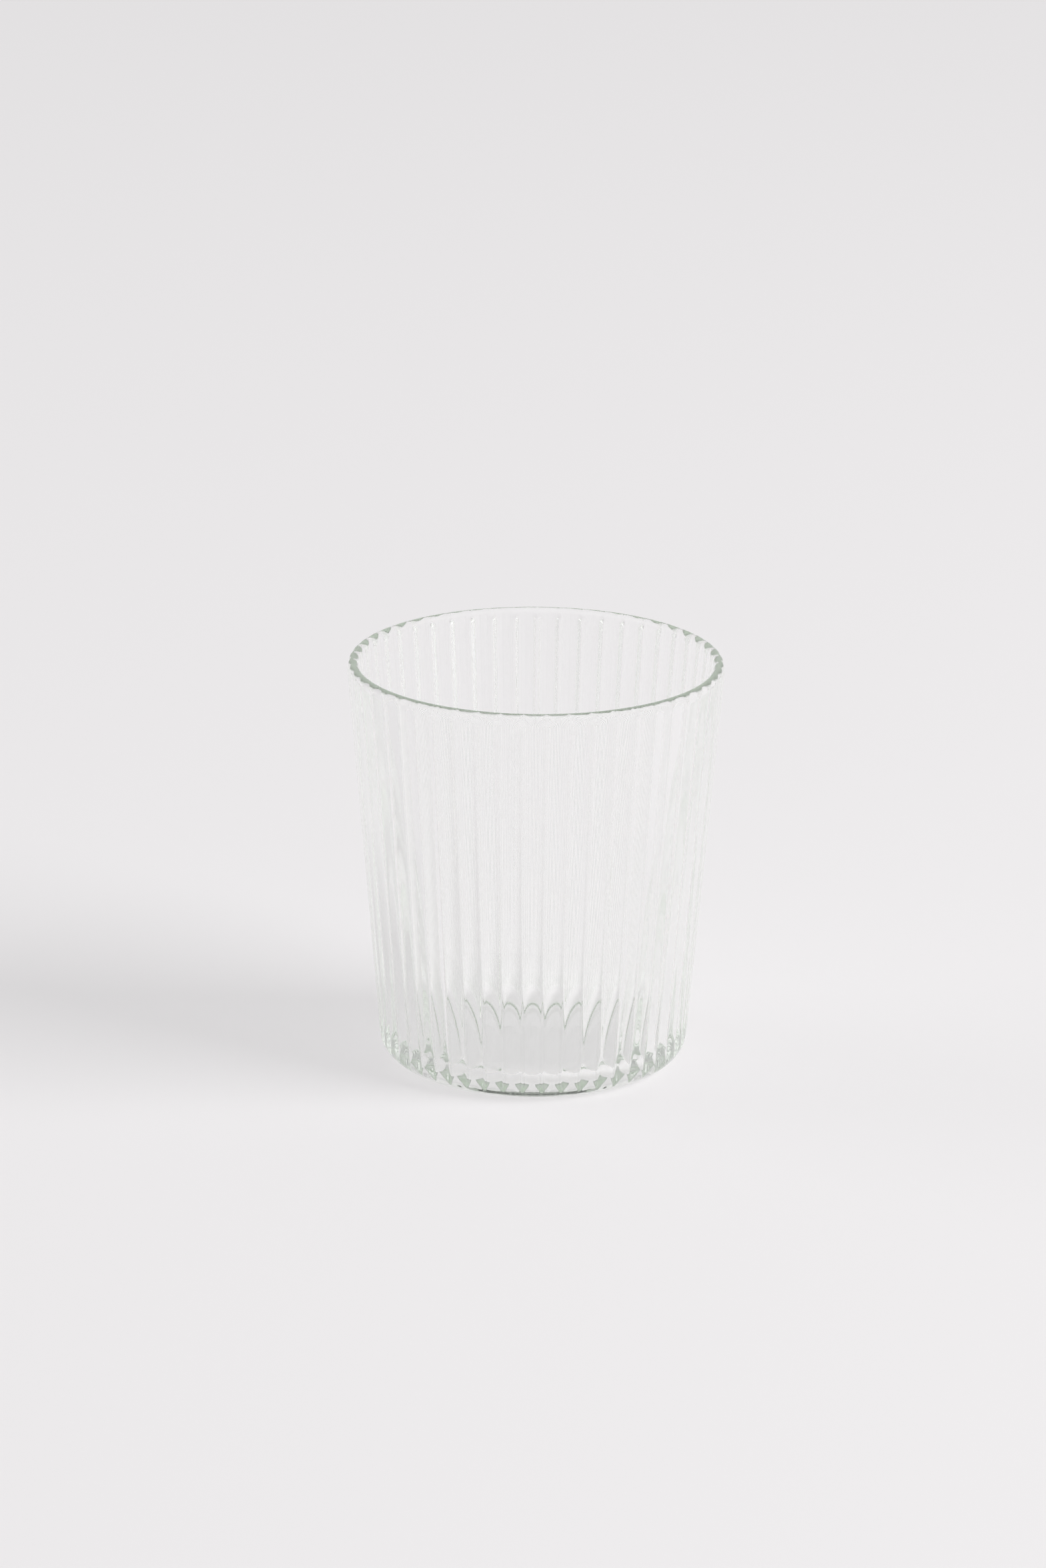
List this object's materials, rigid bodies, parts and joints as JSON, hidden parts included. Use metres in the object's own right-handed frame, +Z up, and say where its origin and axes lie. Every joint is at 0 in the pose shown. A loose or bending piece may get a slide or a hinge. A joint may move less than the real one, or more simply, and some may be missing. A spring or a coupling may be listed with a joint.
{
  "type": "juice glass",
  "caption": "Clear tapered drinking glass with upright ribs outside, a smooth bore, a smooth fire-polished lip and a rounded heel.",
  "frame": {"origin": "middle of the foot, on the surface that the glass stands on", "axes": "+Z up along the glass's axis, towards the mouth"},
  "size_m": [0.0758, 0.0758, 0.084],
  "materials": {
    "soda_lime_glass": "clear, faintly green, fire-polished"
  },
  "bodies": {
    "root": {"lip": "soda_lime_glass", "ribbed_wall": "soda_lime_glass", "heel": "soda_lime_glass", "base": "soda_lime_glass"}
  },
  "joints": []
}
